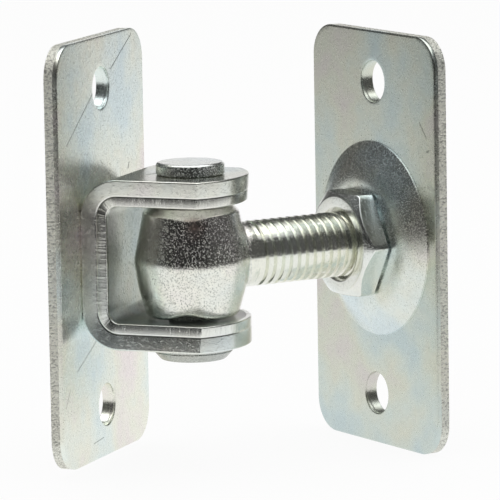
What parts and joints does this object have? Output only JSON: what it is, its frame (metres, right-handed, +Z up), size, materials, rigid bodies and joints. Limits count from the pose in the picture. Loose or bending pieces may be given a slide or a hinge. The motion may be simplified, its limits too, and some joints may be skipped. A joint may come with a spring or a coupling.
{
  "type": "adjustable gate hinge",
  "caption": "Gate hinge with a post plate and welded U bracket, a riveted pin, an eye bolt that swings on it, and a domed gate plate set along the thread by nuts.",
  "frame": {"origin": "centre of the post plate's back face, which lies on the post", "axes": "+X out of the post plate towards the pin, +Z up along the hinge pin, +Y across the plate on the side to which the gate is swung at rest"},
  "size_m": [0.0721, 0.0774, 0.0915],
  "materials": {
    "zinc_sheet": "bright zinc plating with a pale blue passivation on rolled sheet",
    "zinc_bar": "bright zinc plating on sheared flat bar",
    "zinc_pin": "bright zinc plating on a turned and riveted pin",
    "zinc_forging": "bright zinc plating on a grainy forging with a rolled thread",
    "zinc_nut": "bright zinc plating on a pressed and turned nut"
  },
  "bodies": {
    "post_bracket": {"post_plate": "zinc_sheet", "u_bracket": "zinc_bar", "hinge_pin": "zinc_pin"},
    "swing_bolt": {"eye_bolt": "zinc_forging"},
    "gate_leaf": {"gate_plate": "zinc_sheet"},
    "front_nut": {"lock_nut": "zinc_nut"},
    "back_nut": {"rear_nut": "zinc_nut"}
  },
  "joints": [
    {"name": "gate_swing", "type": "hinge", "parent": "post_bracket", "child": "swing_bolt", "pos_m": [0.023, 0, 0], "axis": [0, 0, 1], "range_deg": [-142, 38]},
    {"name": "plate_travel", "type": "slide", "parent": "swing_bolt", "child": "gate_leaf", "axis": [0.6157, 0.788, 0], "range_m": [-0.016, 0.002]},
    {"name": "lock_nut_turn", "type": "hinge", "parent": "gate_leaf", "child": "front_nut", "pos_m": [0.05132, 0.03625, -0.002], "axis": [0.6157, 0.788, 0], "range_deg": [-2881, 361]},
    {"name": "rear_nut_turn", "type": "hinge", "parent": "gate_leaf", "child": "back_nut", "pos_m": [0.05132, 0.03625, -0.002], "axis": [0.6157, 0.788, 0], "range_deg": [-2881, 361]}
  ],
  "couplings": [
    {"joint": "lock_nut_turn", "follows": "plate_travel", "rad_per_m": 3141.6},
    {"joint": "rear_nut_turn", "follows": "plate_travel", "rad_per_m": 3141.6}
  ]
}
